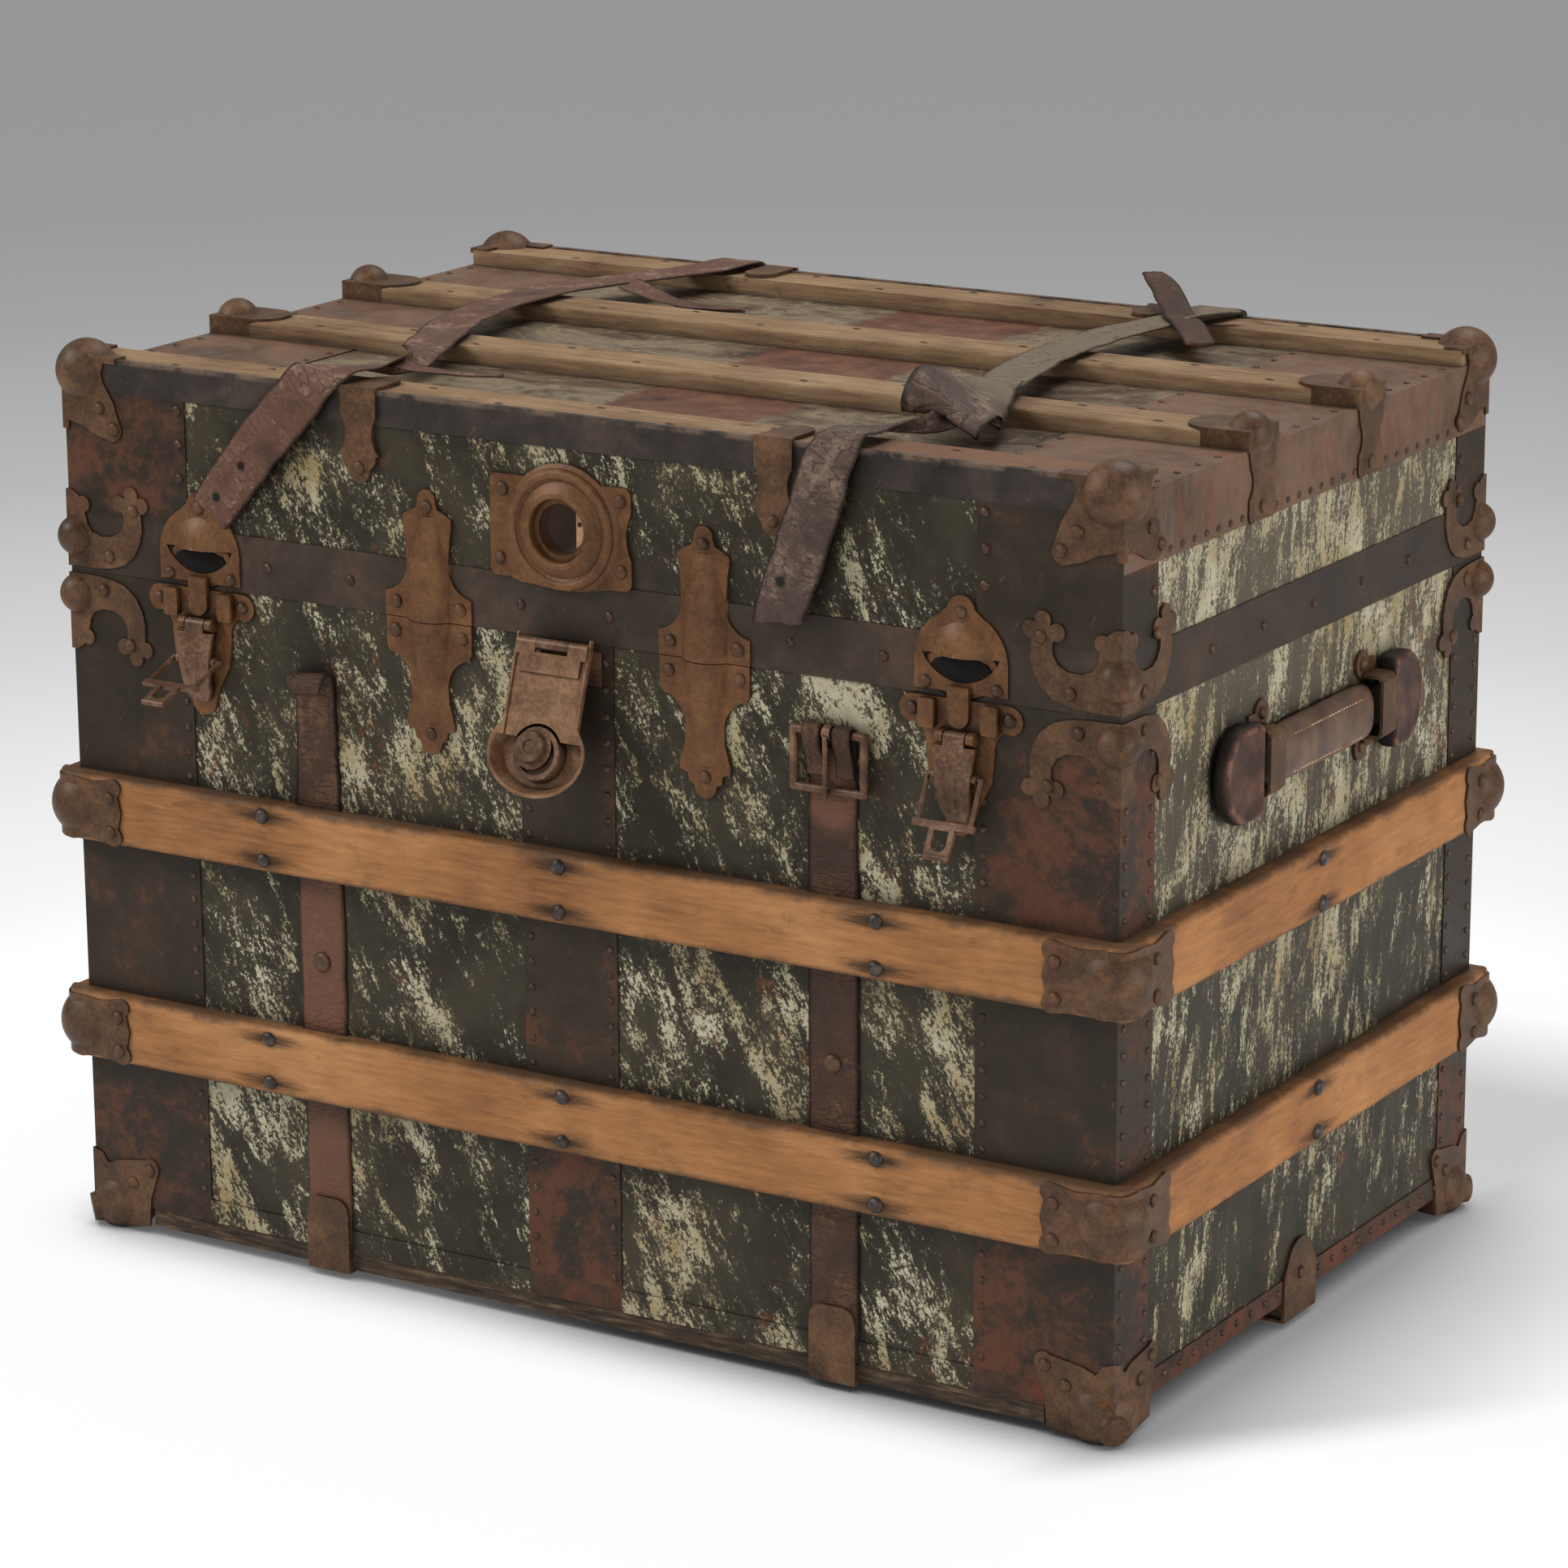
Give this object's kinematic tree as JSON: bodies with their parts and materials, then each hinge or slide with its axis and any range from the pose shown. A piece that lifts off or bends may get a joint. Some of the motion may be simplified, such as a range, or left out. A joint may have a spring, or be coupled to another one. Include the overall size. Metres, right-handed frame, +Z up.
{
  "type": "flat-top steamer trunk",
  "caption": "Flat-top steamer trunk with slats, iron corners, hasp lock, latches, dowels, end handles, leather straps and a lift-out tray.",
  "frame": {"origin": "on the floor, under the middle of the whole trunk's bounding box", "axes": "+X along the length, to the right as seen from the front; -Y towards the front with the lock; +Z up"},
  "size_m": [0.9118, 0.6463, 0.6896],
  "materials": {
    "slat_wood": "worn varnish",
    "top_slat_wood": "weathered",
    "board_wood": "sawn",
    "mottled_sheet": "mottled, worn",
    "band_iron": "worn",
    "red_sheet": "rusted",
    "cast_iron_rusty": "rusted",
    "steel_rusty": "tarnished",
    "leather": "cracked",
    "lining_paper": "matt"
  },
  "bodies": {
    "case": {"case_front_board": "board_wood", "case_back_board": "board_wood", "case_end_boards": "board_wood", "case_floor": "cast_iron_rusty", "case_lining": "lining_paper", "case_cover": "mottled_sheet", "case_bands": "band_iron", "base_binding": "red_sheet", "body_slats_front": "slat_wood", "body_slats_back": "slat_wood", "body_slats_ends": "slat_wood", "bottom_slats": "slat_wood", "slat_corner_clamps": "cast_iron_rusty", "bottom_corners": "cast_iron_rusty", "bottom_clamps": "cast_iron_rusty", "case_crescents": "cast_iron_rusty", "dowel_sockets": "cast_iron_rusty", "latch_bases": "cast_iron_rusty", "hasp_leaf": "steel_rusty", "hasp_pin": "steel_rusty", "front_straps": "leather", "back_straps": "leather", "handle_loops": "cast_iron_rusty", "hinge_case_leaves": "cast_iron_rusty", "hinge_pins": "steel_rusty", "tray_cleats": "board_wood"},
    "lid": {"lid_long_rails": "board_wood", "lid_end_rails": "board_wood", "lid_top_board": "board_wood", "lid_lining": "lining_paper", "lid_cover": "mottled_sheet", "lid_bands": "band_iron", "lid_closing_band": "band_iron", "lid_end_sheets": "red_sheet", "lid_edge_angles": "band_iron", "top_slats_outer": "top_slat_wood", "top_slats_inner": "top_slat_wood", "lid_corners": "cast_iron_rusty", "lid_crescents": "cast_iron_rusty", "top_slat_clamps": "cast_iron_rusty", "lid_edge_clamps": "cast_iron_rusty", "lock_plate": "cast_iron_rusty", "dowel_lugs": "cast_iron_rusty", "latch_keepers": "cast_iron_rusty", "hinge_lid_leaves": "cast_iron_rusty", "lid_strap_left": "leather", "lid_strap_right": "leather", "strap_loop": "leather"},
    "hasp_body": {"hasp": "cast_iron_rusty"},
    "plug_body": {"lock_plug": "cast_iron_rusty"},
    "lever_left": {"latch_lever_left": "cast_iron_rusty"},
    "lever_right": {"latch_lever_right": "cast_iron_rusty"},
    "bail_left": {"latch_bail_left": "cast_iron_rusty"},
    "bail_right": {"latch_bail_right": "cast_iron_rusty"},
    "handle_left_body": {"handle_left": "leather"},
    "handle_right_body": {"handle_right": "leather"},
    "buckle_body": {"buckle_frame": "steel_rusty"},
    "prong_body": {"buckle_prong": "steel_rusty"},
    "tray_body": {"tray": "board_wood", "tray_dividers": "board_wood"}
  },
  "joints": [
    {"name": "lid_hinge", "type": "hinge", "parent": "case", "child": "lid", "pos_m": [0, 0.30793, 0.507], "axis": [-1, 0, 0], "range_deg": [0, 95]},
    {"name": "hasp_hinge", "type": "hinge", "parent": "case", "child": "hasp_body", "pos_m": [0, -0.27458, 0.5055], "axis": [-1, 0, 0], "range_deg": [-18, 161]},
    {"name": "lock_plug_turn", "type": "hinge", "parent": "hasp_body", "child": "plug_body", "pos_m": [0, -0.29837, 0.43438], "axis": [0, -0.9483, 0.3173], "range_deg": [0, 90]},
    {"name": "latch_lever_left", "type": "hinge", "parent": "case", "child": "lever_left", "pos_m": [-0.314, -0.26808, 0.481], "axis": [-1, 0, 0], "range_deg": [0, 110]},
    {"name": "latch_bail_left", "type": "hinge", "parent": "lever_left", "child": "bail_left", "pos_m": [-0.314, -0.27008, 0.455], "axis": [1, 0, 0], "range_deg": [-100, 58]},
    {"name": "latch_lever_right", "type": "hinge", "parent": "case", "child": "lever_right", "pos_m": [0.314, -0.26808, 0.481], "axis": [-1, 0, 0], "range_deg": [0, 110]},
    {"name": "latch_bail_right", "type": "hinge", "parent": "lever_right", "child": "bail_right", "pos_m": [0.314, -0.27008, 0.455], "axis": [1, 0, 0], "range_deg": [-142, 16]},
    {"name": "handle_left_slide", "type": "slide", "parent": "case", "child": "handle_left_body", "axis": [-1, 0, 0], "range_m": [0, 0.0065]},
    {"name": "handle_right_slide", "type": "slide", "parent": "case", "child": "handle_right_body", "axis": [1, 0, 0], "range_m": [0, 0.0065]},
    {"name": "buckle_hinge", "type": "hinge", "parent": "case", "child": "buckle_body", "pos_m": [0.215, -0.26667, 0.471], "axis": [-1, 0, 0], "range_deg": [0, 110]},
    {"name": "prong_hinge", "type": "hinge", "parent": "buckle_body", "child": "prong_body", "pos_m": [0.215, -0.26667, 0.471], "axis": [-1, 0, 0], "range_deg": [0, 50]},
    {"name": "tray_lift", "type": "slide", "parent": "case", "child": "tray_body", "axis": [0, 0, 1], "range_m": [0, 0.12]}
  ]
}
